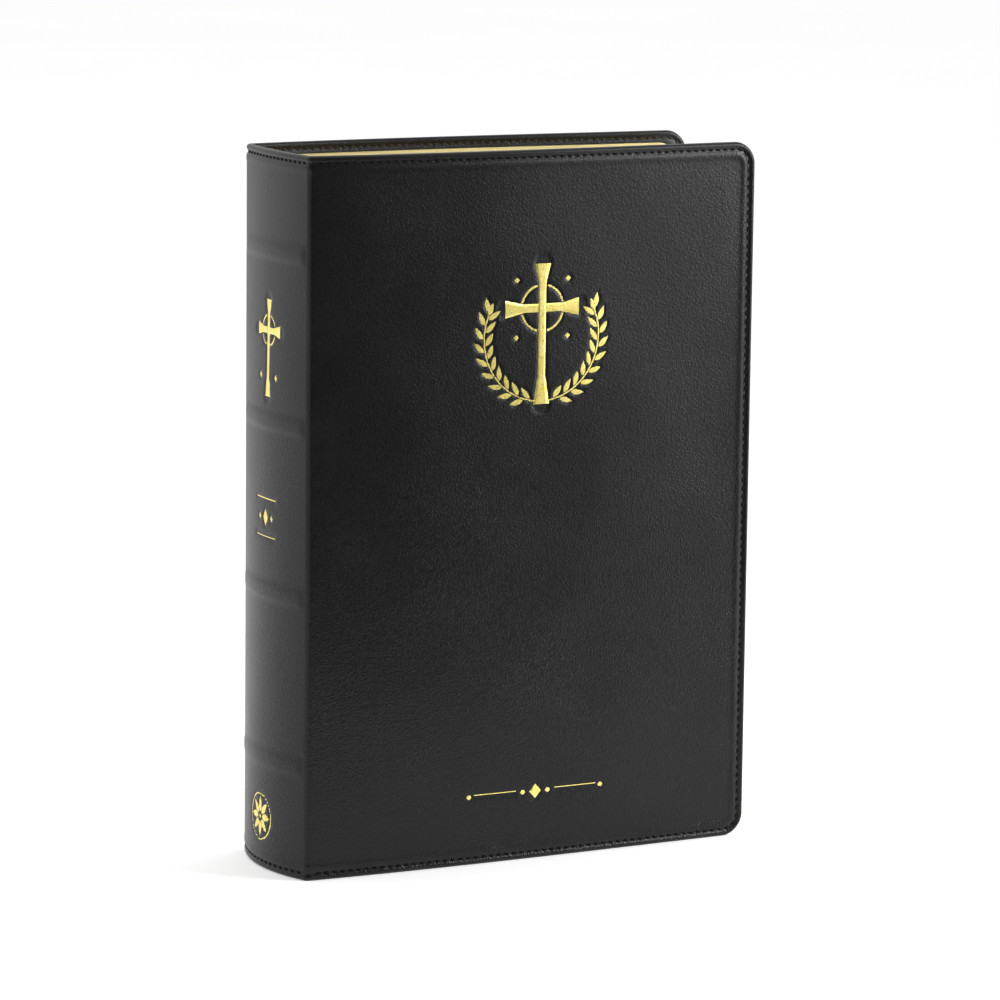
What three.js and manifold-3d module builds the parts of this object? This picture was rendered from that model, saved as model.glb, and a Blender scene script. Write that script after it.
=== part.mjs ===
// A leather-bound bible, standing upright and closed.
// Millimetres, +Z up, spine at -X, fore-edge at +X, front cover at -Y, back cover at +Y.
// Inside the book's own group x = 0 is the plane of the two creases where the covers fold.

import * as THREE from 'three';
import { mergeVertices } from 'three/addons/utils/BufferGeometryUtils.js';
import Module from 'manifold-3d';

// ---- Driving dimensions ----

const coverHeight = 235;
const coverWidth = 162;          // crease to fore-edge
const bookThickness = 50;        // outer face to outer face
const spineBulge = 5;            // how far the spine bows out behind the creases
const cornerRadius = 8;          // fore-edge corners of the covers
const edgeBevel = 0.5;           // soft folded edge of the leather

const skinThickness = 0.9;       // leather on the outer face
const boardThickness = 1.0;
const turnInThickness = 0.6;     // leather folded over onto the inner face
const turnInWidth = 10;
const hingeTurnInWidth = 4;      // inner leather left beside the crease
const foldedEdge = 1.0;          // leather wall round the board's edge
const creaseGap = 0.3;           // free slit between spine and cover leather
const laminateGap = 0.05;        // between flat glued layers
const nestGap = 0.15;            // round a board or lining in its pocket

const threadWidth = 0.8;
const threadDepth = 0.5;
const threadInset = 3;           // from the cover's edge to the thread's middle
const threadGap = 0.25;          // groove wall to thread

const headSquare = 4;            // cover beyond the pages at head and tail
const foreSquare = 5;            // cover beyond the pages at the fore-edge
const pageCornerRadius = 6;
const pageGap = 0.1;             // cover lining to flyleaf
const flyleafThickness = 0.2;
const centreThickness = 2.6;     // the section that stays with the spine
const leafGap = 0.05;            // between neighbouring sections when closed
const foldDepth = 1.5;           // glued fold of the outermost section
const foldClearance = 0.7;       // glued folds to the turning leaves
const foldMargin = 0.08;         // each fold is thinner by this than the fan needs

const sectionsPerSide = 14;
const fanStep = 5.4;             // degrees between neighbouring sections, fully opened

const spineSkinThickness = 1.0;
const inlayThickness = 0.8;
const tubeWall = 0.3;
const tubeHollow = 1.0;
const liningThickness = 0.3;
const mullThickness = 0.3;
const tapeThickness = 0.5;
const layerGap = 0.2;            // between curved layers
const layerEndInset = 4.5;       // crease plane to the long edges of the layers
const liningEndInset = 1.0;      // linings stop short of the page block's ends
const inlayEndInset = 2;         // inlay stops short of the leather's ends

const bandCount = 4;
const bandHeadInset = 32;        // head of the spine to the middle of the highest raised band
const bandTailInset = 37;        // tail of the spine to the middle of the lowest one
const bandHeight = 5.5;
const bandRelief = 0.5;
const bandEndInset = 1.5;        // bands fade out before the creases
const stripThickness = 0.5;

const tapeWidth = 12;
const kettleInset = 12;          // kettle stitches from the pages' ends
const headbandRadius = 1.3;
const headbandEndInset = 2.5;    // from the page block's faces
const headbandSetback = 1.0;     // from the page block's back

const arcSegments = 16;          // straight steps across a spine arc
const cornerSegments = 6;        // and round a corner
const cordSegments = 4;          // and round half of a cord
const bevelSegments = 2;
const weldDistance = 1e-5;       // closer vertices are one vertex
const cutMargin = 1;             // a cutting solid runs this far past what it cuts

// ---- Sizes that follow ----

const halfThickness = bookThickness / 2;
const coverThickness = skinThickness + boardThickness + turnInThickness;
const blockHalf = halfThickness - coverThickness - pageGap;
const pageLow = headSquare;
const pageHeight = coverHeight - 2 * headSquare;
const pageHigh = pageLow + pageHeight;

// The spine's layers are arcs about one centre, so they nest.
const skinRadius = (halfThickness ** 2 + spineBulge ** 2) / (2 * spineBulge);
const spineCentre = skinRadius - spineBulge;
const inlayRadius = skinRadius - spineSkinThickness - layerGap;
const tubeRadius = inlayRadius - inlayThickness - layerGap;
const tubeThickness = 2 * tubeWall + tubeHollow;
const liningRadius = tubeRadius - tubeThickness - layerGap;
const mullRadius = liningRadius - liningThickness - layerGap;
const tapeRadius = mullRadius - mullThickness - layerGap;
const blockRadius = tapeRadius - tapeThickness - layerGap;

const blockBack = (y) => spineCentre - Math.sqrt(blockRadius ** 2 - y ** 2);
const gutterX = blockBack(blockHalf) + foldDepth;
const pageWidth = coverWidth - foreSquare - blockBack(blockHalf);

const sectionPitch = (blockHalf - flyleafThickness - leafGap - centreThickness / 2) / sectionsPerSide;
const sectionThickness = sectionPitch - leafGap;

// ---- Solids ----

const wasm = await Module();
wasm.setup();

function toSolid(geometry) {
  const bare = geometry.clone();
  bare.deleteAttribute('normal');
  bare.deleteAttribute('uv');
  const merged = mergeVertices(bare, weldDistance);
  return new wasm.Manifold(new wasm.Mesh({
    numProp: 3,
    vertProperties: Float32Array.from(merged.attributes.position.array),
    triVerts: Uint32Array.from(merged.index.array),
  }));
}

function toGeometry(solid) {
  const { vertProperties, triVerts } = solid.getMesh();
  const geometry = new THREE.BufferGeometry();
  geometry.setAttribute('position', new THREE.BufferAttribute(vertProperties, 3));
  geometry.setIndex(new THREE.BufferAttribute(triVerts, 1));
  geometry.computeVertexNormals();
  return geometry;
}

function cut(geometry, ...tools) {
  return toGeometry(tools.reduce((solid, tool) => solid.subtract(toSolid(tool)), toSolid(geometry)));
}

function common(geometryA, geometryB) {
  return toGeometry(toSolid(geometryA).intersect(toSolid(geometryB)));
}

// A plan outline (x, y) raised along z.
function planPrism(outline, low, height) {
  const settings = { depth: height, bevelEnabled: false, curveSegments: cornerSegments };
  return new THREE.ExtrudeGeometry(outline, settings).translate(0, 0, low);
}

// A face outline (x, z) given a thickness along y. side is -1 for the front of the book and +1
// for the back; the depths are measured inwards from the book's outer face.
function faceSlab(outline, side, outerDepth, innerDepth, bevel = 0) {
  const thickness = innerDepth - outerDepth;
  const geometry = new THREE.ExtrudeGeometry(outline, {
    depth: thickness - 2 * bevel,
    bevelEnabled: bevel > 0,
    bevelThickness: bevel,
    bevelSize: bevel,
    bevelOffset: -bevel,
    bevelSegments,
    curveSegments: cornerSegments,
  });
  const middle = side * (halfThickness - outerDepth - thickness / 2);
  return geometry.translate(0, 0, bevel - thickness / 2).rotateX(Math.PI / 2).translate(0, middle, 0);
}

// A rectangle whose two corners at the high-x end are rounded.
function foreEdgeOutline(lowX, highX, lowZ, highZ, radius) {
  const outline = new THREE.Shape();
  outline.moveTo(lowX, lowZ);
  outline.lineTo(highX - radius, lowZ);
  outline.absarc(highX - radius, lowZ + radius, radius, -Math.PI / 2, 0, false);
  outline.lineTo(highX, highZ - radius);
  outline.absarc(highX - radius, highZ - radius, radius, 0, Math.PI / 2, false);
  outline.lineTo(lowX, highZ);
  outline.closePath();
  return outline;
}

function coverOutline(lowX, inset) {
  const radius = Math.max(cornerRadius - inset, edgeBevel);
  return foreEdgeOutline(lowX, coverWidth - inset, inset, coverHeight - inset, radius);
}

// A band that runs along the head, fore-edge and tail at one distance from the cover's edge.
function stitchOutline(lowX, width) {
  const outer = threadInset - width / 2;
  const inner = threadInset + width / 2;
  const outerRadius = cornerRadius - outer;
  const innerRadius = cornerRadius - inner;
  const arcX = coverWidth - cornerRadius;
  const outline = new THREE.Shape();
  outline.moveTo(lowX, outer);
  outline.lineTo(arcX, outer);
  outline.absarc(arcX, cornerRadius, outerRadius, -Math.PI / 2, 0, false);
  outline.lineTo(coverWidth - outer, coverHeight - cornerRadius);
  outline.absarc(arcX, coverHeight - cornerRadius, outerRadius, 0, Math.PI / 2, false);
  outline.lineTo(lowX, coverHeight - outer);
  outline.lineTo(lowX, coverHeight - inner);
  outline.lineTo(arcX, coverHeight - inner);
  outline.absarc(arcX, coverHeight - cornerRadius, innerRadius, Math.PI / 2, 0, true);
  outline.lineTo(coverWidth - inner, cornerRadius);
  outline.absarc(arcX, cornerRadius, innerRadius, 0, -Math.PI / 2, true);
  outline.lineTo(lowX, inner);
  outline.closePath();
  return outline;
}

// Points of a spine arc, from y = -halfSpan to y = +halfSpan.
function spineArc(radius, halfSpan) {
  const reach = Math.asin(halfSpan / radius);
  return Array.from({ length: arcSegments + 1 }, (_, index) => {
    const angle = reach * (2 * index / arcSegments - 1);
    return new THREE.Vector2(spineCentre - radius * Math.cos(angle), radius * Math.sin(angle));
  });
}

// A curved strip between two radii. The list runs clockwise from above, which the extrusion turns
// the right way round.
function spineStrip(outerRadius, innerRadius, outerSpan, innerSpan = outerSpan) {
  return new THREE.Shape([
    ...spineArc(outerRadius, outerSpan),
    ...spineArc(innerRadius, innerSpan).reverse(),
  ]);
}

const spanAtCrease = (radius) => Math.sqrt(radius ** 2 - spineCentre ** 2);
const bandSpacing = (coverHeight - bandHeadInset - bandTailInset) / (bandCount - 1);
const bandHeights = Array.from({ length: bandCount }, (_, index) => bandTailInset + index * bandSpacing);
const bandRecessHeight = bandHeight - 2 * nestGap;
const layerSpan = halfThickness - layerEndInset;

// ---- Materials ----

const finishes = {
  leather: { color: 0x1d1b1a, roughness: 0.55, metalness: 0 },
  thread: { color: 0x0f0e0e, roughness: 0.7, metalness: 0 },
  board: { color: 0x8a7f6c, roughness: 0.95, metalness: 0 },
  endpaper: { color: 0xe9e0cb, roughness: 0.9, metalness: 0 },
  page: { color: 0xd9c07a, roughness: 0.45, metalness: 0.3 },
  cloth: { color: 0xd8d2c4, roughness: 0.95, metalness: 0 },
  kraft: { color: 0xa88a61, roughness: 0.9, metalness: 0 },
  headband: { color: 0xcaa94a, roughness: 0.7, metalness: 0 },
};

const book = new THREE.Group();

function addPart(name, finish, geometry) {
  const mesh = new THREE.Mesh(geometry, new THREE.MeshStandardMaterial(finishes[finish]));
  mesh.name = name;
  book.add(mesh);
}

// ---- Covers ----

// Leather folded round the board: outer skin, a wall round three edges and a turn-in inside.
function coverLeather(side) {
  const body = faceSlab(coverOutline(creaseGap, 0), side, 0, coverThickness, edgeBevel);
  const pocket = faceSlab(
    coverOutline(creaseGap + foldedEdge, foldedEdge), side, skinThickness, skinThickness + boardThickness);
  const window = faceSlab(
    coverOutline(hingeTurnInWidth, turnInWidth), side, skinThickness, coverThickness + edgeBevel);
  const groove = faceSlab(
    stitchOutline(-threadGap, threadWidth + 2 * threadGap), side, -edgeBevel, threadDepth + laminateGap);
  return cut(body, pocket, window, groove);
}

function coverBoard(side) {
  const outline = coverOutline(creaseGap + foldedEdge + nestGap, foldedEdge + nestGap);
  return faceSlab(outline, side, skinThickness + laminateGap, skinThickness + boardThickness - laminateGap);
}

function pastedown(side) {
  const outline = coverOutline(hingeTurnInWidth + nestGap, turnInWidth + nestGap);
  const depth = skinThickness + boardThickness;
  return faceSlab(outline, side, depth, depth + turnInThickness - laminateGap);
}

function coverStitching(side) {
  return faceSlab(stitchOutline(creaseGap + threadGap, threadWidth), side, 0, threadDepth);
}

// ---- Spine ----

function spineLeather() {
  const innerRadius = skinRadius - spineSkinThickness;
  const bandRadius = skinRadius + bandRelief;
  const outline = spineStrip(
    skinRadius, innerRadius, spanAtCrease(skinRadius), spanAtCrease(innerRadius));
  const solid = bandHeights.reduce((whole, middle) => {
    const ridge = spineStrip(bandRadius, skinRadius - bandRelief, halfThickness - bandEndInset);
    return whole.add(toSolid(planPrism(ridge, middle - bandHeight / 2, bandHeight)));
  }, toSolid(planPrism(outline, 0, coverHeight)));
  const recesses = bandHeights.map((middle) => {
    const recess = spineStrip(
      innerRadius + stripThickness + layerGap / 2, innerRadius - bandRelief, layerSpan + nestGap);
    return planPrism(recess, middle - bandRecessHeight / 2, bandRecessHeight);
  });
  const grooves = [threadInset, coverHeight - threadInset].map((middle) => {
    const groove = spineStrip(bandRadius, skinRadius - threadDepth - layerGap / 2, halfThickness);
    return planPrism(groove, middle - threadWidth / 2 - threadGap, threadWidth + 2 * threadGap);
  });
  return cut(toGeometry(solid), ...recesses, ...grooves);
}

function spineInlay() {
  const outline = spineStrip(inlayRadius, inlayRadius - inlayThickness, layerSpan);
  return planPrism(outline, inlayEndInset, coverHeight - 2 * inlayEndInset);
}

function bandStrip(middle) {
  const innerRadius = skinRadius - spineSkinThickness;
  const outline = spineStrip(innerRadius + stripThickness, innerRadius, layerSpan);
  const height = bandRecessHeight - 2 * nestGap;
  return planPrism(outline, middle - height / 2, height);
}

function spineStitching(middle) {
  const outline = spineStrip(skinRadius, skinRadius - threadDepth, halfThickness - threadGap);
  return planPrism(outline, middle - threadWidth / 2, threadWidth);
}

// A flattened paper tube, open at both ends.
function hollowTube() {
  const height = pageHeight - 2 * liningEndInset;
  const outside = spineStrip(tubeRadius, tubeRadius - tubeThickness, layerSpan);
  const inside = spineStrip(
    tubeRadius - tubeWall, tubeRadius - tubeWall - tubeHollow, layerSpan - tubeWall);
  const bore = planPrism(inside, pageLow, height + 2 * liningEndInset);
  return cut(planPrism(outside, pageLow + liningEndInset, height), bore);
}

function blockLining(radius, thickness) {
  const outline = spineStrip(radius, radius - thickness, layerSpan);
  return planPrism(outline, pageLow + liningEndInset, pageHeight - 2 * liningEndInset);
}

function sewingTape(middle) {
  const outline = spineStrip(tapeRadius, tapeRadius - tapeThickness, layerSpan);
  return planPrism(outline, middle - tapeWidth / 2, tapeWidth);
}

// A round cord bent along an arc across the spine.
function arcCord(arcRadius, halfSpan, cordRadius, middle) {
  const path = new THREE.CatmullRomCurve3(
    spineArc(arcRadius, halfSpan).map((point) => new THREE.Vector3(point.x, point.y, middle)));
  const section = new THREE.Shape().absarc(0, 0, cordRadius, 0, 2 * Math.PI, false);
  const settings = { steps: arcSegments, extrudePath: path, curveSegments: cordSegments };
  return new THREE.ExtrudeGeometry(section, settings);
}

// ---- Pages ----

// The sewn and glued folds at the back of all the sections.
function sectionFolds() {
  const frontX = gutterX - foldClearance;
  const outline = new THREE.Shape([
    ...spineArc(blockRadius, blockHalf),
    new THREE.Vector2(frontX, blockHalf),
    new THREE.Vector2(frontX, -blockHalf),
  ]);
  return planPrism(outline, pageLow, pageHeight);
}

// A slab of leaves that turns at the gutter. Near its fold it narrows, so that it stays clear of
// its outer neighbour, which turns furthest: outerTurn, in degrees.
function leaves(middle, thickness, outerTurn) {
  const turned = THREE.MathUtils.degToRad(outerTurn);
  const halfStep = THREE.MathUtils.degToRad(fanStep / 2);
  const half = thickness / 2;
  const narrow = Math.max(half * Math.cos(turned) - foldMargin, leafGap);
  const taper = Math.max((half - narrow) / Math.tan(halfStep), edgeBevel);
  const foreX = blockBack(middle) + pageWidth;
  const plan = new THREE.Shape([
    new THREE.Vector2(gutterX, middle - narrow),
    new THREE.Vector2(gutterX + taper, middle - half),
    new THREE.Vector2(foreX, middle - half),
    new THREE.Vector2(foreX, middle + half),
    new THREE.Vector2(gutterX + taper, middle + half),
    new THREE.Vector2(gutterX, middle + narrow),
  ]);
  const face = foreEdgeOutline(0, foreX, pageLow, pageHigh, pageCornerRadius);
  const thick = faceSlab(face, -1, 0, bookThickness);
  return common(planPrism(plan, pageLow - cutMargin, pageHeight + 2 * cutMargin), thick);
}

const sectionMiddle = (index) => centreThickness / 2 + (index - 0.5) * sectionPitch + leafGap / 2;
const flyleafMiddle = blockHalf - flyleafThickness / 2;

// ---- Assembly ----

for (const [name, side] of [['front', -1], ['back', 1]]) {
  addPart(`${name}_cover_leather`, 'leather', coverLeather(side));
  addPart(`${name}_cover_board`, 'board', coverBoard(side));
  addPart(`${name}_pastedown`, 'endpaper', pastedown(side));
  addPart(`${name}_cover_stitching`, 'thread', coverStitching(side));
  addPart(`${name}_flyleaf`, 'endpaper', leaves(side * flyleafMiddle, flyleafThickness, 0));
  for (let index = 1; index <= sectionsPerSide; index += 1) {
    const label = String(index).padStart(2, '0');
    const slab = leaves(side * sectionMiddle(index), sectionThickness, (index + 1) * fanStep);
    addPart(`${name}_section_${label}`, 'page', slab);
  }
}

addPart('centre_section', 'page', leaves(0, centreThickness - leafGap, fanStep));
addPart('section_folds', 'page', sectionFolds());

addPart('spine_leather', 'leather', spineLeather());
addPart('spine_head_stitching', 'thread', spineStitching(coverHeight - threadInset));
addPart('spine_tail_stitching', 'thread', spineStitching(threadInset));
addPart('spine_inlay', 'board', spineInlay());
addPart('hollow_tube', 'kraft', hollowTube());
addPart('spine_lining', 'kraft', blockLining(liningRadius, liningThickness));
addPart('mull', 'cloth', blockLining(mullRadius, mullThickness));

bandHeights.forEach((middle, index) => {
  addPart(`raised_band_${index + 1}`, 'board', bandStrip(middle));
  addPart(`sewing_tape_${index + 1}`, 'cloth', sewingTape(middle));
});

const kettleArc = tapeRadius - tapeThickness / 2;
for (const [end, height] of [['head', pageHigh - kettleInset], ['tail', pageLow + kettleInset]]) {
  addPart(`kettle_stitch_${end}`, 'cloth', arcCord(kettleArc, layerSpan, tapeThickness / 2, height));
}

const headbandArc = blockRadius - headbandSetback;
const headbandSpan = blockHalf - headbandEndInset;
const headbandLift = headbandRadius + layerGap;
addPart('headband', 'headband', arcCord(headbandArc, headbandSpan, headbandRadius, pageHigh + headbandLift));
addPart('tailband', 'headband', arcCord(headbandArc, headbandSpan, headbandRadius, pageLow - headbandLift));

// The origin is the middle of the book's box, at its foot.
const model = new THREE.Group();
book.position.x = -(coverWidth - spineBulge - bandRelief) / 2;
model.add(book);
model.updateMatrixWorld(true);

export default model;
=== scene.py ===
"""A leather-bound bible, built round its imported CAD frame.

Lengths are millimetres until a mesh is made. On the book, u runs from the crease towards the fore-edge
(negative on the spine), z is height and depth goes inwards from the leather's outer face.
"""

import math

import bmesh
import bpy
import numpy as np
from mathutils import Matrix, Vector


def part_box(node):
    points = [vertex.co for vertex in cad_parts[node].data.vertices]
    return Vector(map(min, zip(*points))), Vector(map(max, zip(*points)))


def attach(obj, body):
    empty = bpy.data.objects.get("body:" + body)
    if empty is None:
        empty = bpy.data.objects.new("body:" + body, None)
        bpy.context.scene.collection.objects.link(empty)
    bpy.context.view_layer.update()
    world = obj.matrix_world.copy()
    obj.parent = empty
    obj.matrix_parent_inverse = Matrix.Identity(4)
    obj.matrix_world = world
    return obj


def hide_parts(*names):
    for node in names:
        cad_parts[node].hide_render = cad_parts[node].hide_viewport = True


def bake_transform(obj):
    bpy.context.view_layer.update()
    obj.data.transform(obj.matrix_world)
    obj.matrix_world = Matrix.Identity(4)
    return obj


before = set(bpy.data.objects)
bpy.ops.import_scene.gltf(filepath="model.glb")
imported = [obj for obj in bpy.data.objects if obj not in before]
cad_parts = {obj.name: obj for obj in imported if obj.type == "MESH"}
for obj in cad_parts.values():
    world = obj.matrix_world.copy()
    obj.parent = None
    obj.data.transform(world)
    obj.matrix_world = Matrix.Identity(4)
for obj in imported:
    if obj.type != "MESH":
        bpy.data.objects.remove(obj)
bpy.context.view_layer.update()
scene = bpy.context.scene

MM = 0.001
TINY = 1e-9
SIDES = (("front", -1), ("back", 1))


def box(node):
    low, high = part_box(node)
    return low / MM, high / MM


# ---- Sizes from the frame ----

CREASE = box("spine_leather")[1].x
WIDTH = box("front_cover_leather")[1].x - CREASE
HEIGHT = box("front_cover_leather")[1].z
HALF = -box("front_cover_leather")[0].y
BLOCK_HALF = -box("front_flyleaf")[0].y
COVER_THICK = HALF + box("front_cover_leather")[1].y
PAGE_LOW = box("centre_section")[0].z
PAGE_HIGH = box("centre_section")[1].z
GUTTER = box("section_folds")[1].x - CREASE
BAND_NUMBERS = range(1, 5)
BANDS = [sum(v.z for v in box(f"raised_band_{i}")) / 2 for i in BAND_NUMBERS]
SECTIONS = sum(node.startswith("front_section_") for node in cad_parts)

# ---- Sizes of the soft finish ----

BULGE_TAIL = 5.8  # how far the spine bows out behind the creases
BULGE_HEAD = 2.0
FRAME_BULGE = 5.0  # the CAD spine's
DOME_TAIL = 1.8  # how far the covers swell over the pages
DOME_HEAD = 3.2
DOME_RISE = 0.9  # powers that shape the swell from the crease and to the fore-edge
DOME_FALL = 1.5
CREASE_ROUND = 1.3  # the crease is rounded this far to each side
CORNER = 7.6
EDGE_OUT = 1.1  # rounding of the folded edge
EDGE_IN = 0.8
SPINE_THICK = 2.1
THICK_EASE = 3.0  # the thickness changes over this much to each side of the crease
TURN_IN = 10.0  # leather folded onto the inner face
TURN_IN_STEP = 0.6  # its thickness
INNER_TURN = 0.35  # rounding of its cut edge
INNER_REACH = 3.0  # it goes on this far under the lining
BOARD_START = 3.0  # from the crease
BOARD_INSET = 1.6
BOARD_DEPTHS = (0.9, 1.9)
LINING_START = 4.4
LINING_GAP = 0.12  # between the lining and the turned-in leather
LINING_DEPTHS = (1.95, COVER_THICK - 0.06)
LINING_CORNER = 0.6
PAGE_CORNER = 6.0
CHORD = 3.0  # normals are taken across this much leather

STITCH_INSET = 2.4
STITCH_PITCH = 2.8
STITCH_LENGTH = 2.1
STITCH_WIDTH = 0.95
STITCH_SLANT = math.radians(-17)
STITCH_RISE = 0.36  # the thread's half height
STITCH_SAG = 0.28  # its ends dip by this
STITCH_STEPS = 9
STITCH_SIDES = 8
STITCH_LIFT = 0.05  # its middle, over the groove's floor
STITCH_BURY = 0.2  # its middle on the inner side, under the face
SEAM_START = 3.0  # from the crease
SPINE_SEAM_END = 2.0  # clear of the creases
GROOVE_DEPTH = 0.45
GROOVE_WIDTH = 0.7
LIPS = (0.16, 1.9, 1.1), (0.10, -1.7, 0.8)  # height, distance from the seam and width
BAND_RELIEF = 0.42
BAND_HALF = 2.75
STAMP_DEPTH = 0.22
STAMP_EDGE = 0.4  # the leather slopes down over this width
FOIL_THICK = 0.045
FOIL_SINK = 0.1
FOIL_CROWN = 0.012

HEADBAND_WRAPS = 44
HEADBAND_CORD = 1.16  # radii
HEADBAND_THREAD = 0.14
HEADBAND_INSET = 1.3  # the cord's middle line from the faces of the CAD's band

SPINE_ARC = HALF * 1.03  # crease to the spine's middle line, along the leather

# Height, wavelength along the book, wavelength up it and phase of the leather's slow waves.
WAVES = (0.06, 83, 140, 0.4), (0.03, 47, -95, 2.1), (0.018, 210, 37, 4.0), (0.012, 31, 58, 5.2)


# ---- The leather's surface ----

def smooth(t):
    t = np.clip(t, 0, 1)
    return t * t * (3 - 2 * t)


def dome(u, z):
    """How far a cover stands out over the swollen pages."""
    t = np.clip(u / WIDTH, 0, 1)
    peak = DOME_RISE / (DOME_RISE + DOME_FALL)
    top = peak**DOME_RISE * (1 - peak) ** DOME_FALL
    shape = t**DOME_RISE * (1 - t) ** DOME_FALL / top
    return shape * (DOME_TAIL + (DOME_HEAD - DOME_TAIL) * np.clip(z / HEIGHT, 0, 1))


def bulge(z):
    return BULGE_TAIL + (BULGE_HEAD - BULGE_TAIL) * np.clip(z / HEIGHT, 0, 1)


def spine_curve(u, z):
    y = HALF * (1 + u / SPINE_ARC)
    return -bulge(z) * (1 - (y / HALF) ** 2), y


def skin(u, z):
    """Plan of the outer face: (x from the crease, distance from the book's middle plane)."""
    u, z = np.broadcast_arrays(np.asarray(u, float), np.asarray(z, float))
    spine_x, spine_y = spine_curve(np.minimum(u, 0), z)
    on_spine = u < 0
    x = np.where(on_spine, spine_x, u)
    y = np.where(on_spine, spine_y, HALF + dome(np.maximum(u, 0), z))
    near = np.abs(u) < CREASE_ROUND
    t = np.clip((u + CREASE_ROUND) / (2 * CREASE_ROUND), 0, 1)
    ax, ay = spine_curve(np.full_like(u, -CREASE_ROUND), z)
    bx, by = CREASE_ROUND, HALF + dome(np.full_like(u, CREASE_ROUND), z)
    round_x = (1 - t) ** 2 * ax + t**2 * bx
    round_y = (1 - t) ** 2 * ay + 2 * t * (1 - t) * HALF + t**2 * by
    return np.where(near, round_x, x), np.where(near, round_y, y)


def place(side, u, z, depth=0.0):
    """A point of the book, in millimetres. side is -1 for the front half and +1 for the back."""
    x, y = skin(u, z)
    ahead, behind = skin(u + CHORD, z), skin(u - CHORD, z)
    tx, ty = ahead[0] - behind[0], ahead[1] - behind[1]
    length = np.hypot(tx, ty)
    x = x + depth * ty / length
    y = y - depth * tx / length
    return np.stack([CREASE + x, side * y, np.broadcast_to(z, x.shape)], -1)


def across_spine(w):
    """(side, u) of a point w to the back of the spine's middle line."""
    return np.where(w < 0, -1, 1), np.abs(w) - SPINE_ARC


def edge_distance(u, z):
    """Distance to the cover's or spine's nearest free edge."""
    end = np.minimum(z, HEIGHT - z)
    a = np.maximum(u - (WIDTH - CORNER), 0)
    b = np.maximum(CORNER - end, 0)
    return np.where((a > 0) & (b > 0), CORNER - np.hypot(a, b), np.minimum(end, WIDTH - u))


def length_along(a, b):
    """How far each point of a line is from its first one, along the line."""
    return np.concatenate([[0], np.cumsum(np.hypot(np.diff(a), np.diff(b)))])


# ---- Gold-stamped ornaments, as ribbons with a middle line and half-widths ----

def ribbon(points, halves):
    """Resamples a middle line finely enough to follow the curved leather."""
    points = np.asarray(points, float)
    halves = np.broadcast_to(np.asarray(halves, float), len(points))
    run = length_along(*points.T)
    count = max(3, int(run[-1] / 0.8) + 2)
    t = np.union1d(np.linspace(0, run[-1], count), run)
    line = np.stack([np.interp(t, run, points[:, 0]), np.interp(t, run, points[:, 1])], -1)
    return line, np.interp(t, run, halves)


def leaf(root, angle, length, half):
    t = np.linspace(0, 1, 9)
    direction = np.array([math.cos(angle), math.sin(angle)])
    return ribbon(np.asarray(root) + np.outer(t, direction) * length, half * np.sin(math.pi * t**0.8) + 0.04)


def arc(centre, radius, start, end, half, steps=40):
    angles = np.radians(np.linspace(start, end, steps))
    return ribbon(np.asarray(centre) + radius * np.stack([np.cos(angles), np.sin(angles)], -1), half)


def lozenge(centre, width, height):
    x, z = centre
    return ribbon([(x, z - height / 2), (x, z), (x, z + height / 2)], [0.03, width / 2, 0.03])


def cross(centre, low, high, reach, half, flare):
    """A Latin cross whose arms widen towards their ends. centre is where the arms meet."""
    x, z = centre
    upright = ribbon([(x, low), (x, low + 3 * flare), (x, z), (x, high - 2 * flare), (x, high)],
                     [flare, half, half, half, flare])
    arms = []
    for way in (-1, 1):
        arms.append(ribbon([(x + way * half, z), (x + way * (reach - 2 * flare), z), (x + way * reach, z)],
                           [half, half, flare]))
    return [upright, *arms]


def spray(centre, radius, way):
    """A curved stem with leaves on both sides, rising from below the centre."""
    start, end, leaves = -86, 22, 9
    to_angle = (lambda a: a) if way > 0 else (lambda a: 180 - a)
    parts = [arc(centre, radius, to_angle(start), to_angle(end), 0.28)]
    for i in range(leaves):
        along = start + (end - start) * (i + 0.7) / leaves
        for turn, reach in ((38, 0.0), (-34, 0.5)):
            angle = along + reach * (end - start) / leaves
            foot_angle = math.radians(to_angle(angle))
            out = 0.55 if turn < 0 else -0.55
            toward = np.array([math.cos(foot_angle), math.sin(foot_angle)])
            foot = np.asarray(centre) + (radius + out) * toward
            heading = math.radians(to_angle(angle + 90 + turn))
            parts.append(leaf(foot, heading, 5.0, 0.95))
    tip = math.radians(to_angle(end))
    foot = np.asarray(centre) + radius * np.array([math.cos(tip), math.sin(tip)])
    parts.append(leaf(foot, math.radians(to_angle(end + 90)), 4.6, 0.9))
    return parts


def double_rule(x0, x1, z, gap=1.3):
    return [ribbon([(x0, z + way * gap / 2), (x1, z + way * gap / 2)], 0.22) for way in (-1, 1)]


def front_ornaments():
    """A ringed cross between two sprays, and a rule near the tail. x is the cover's middle."""
    x, meet, spray_z, z = 82.0, 183.5, 174.0, 22.8
    emblem = cross((x, meet), 152.0, 198.0, 13.5, 1.5, 3.1)
    emblem += [arc((x, meet), 7.6, 90 * q + 14, 90 * q + 76, 0.42) for q in range(4)]
    emblem += [lozenge((x + 9.4 * a, meet + 9.4 * b), 2.0, 2.0) for a in (-1, 1) for b in (-1, 1)]
    emblem += spray((x, spray_z), 21.0, 1) + spray((x, spray_z), 21.0, -1)
    rule = [lozenge((x, z), 4.6, 4.8)]
    for way in (-1, 1):
        rule.append(lozenge((x + way * 4.6, z), 2.0, 2.4))
        rule += double_rule(x + way * 7.2, x + way * 22.6, z)
        rule.append(lozenge((x + way * 24.4, z), 2.0, 2.4))
    return {"front_emblem": emblem, "front_rule": rule}


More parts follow.
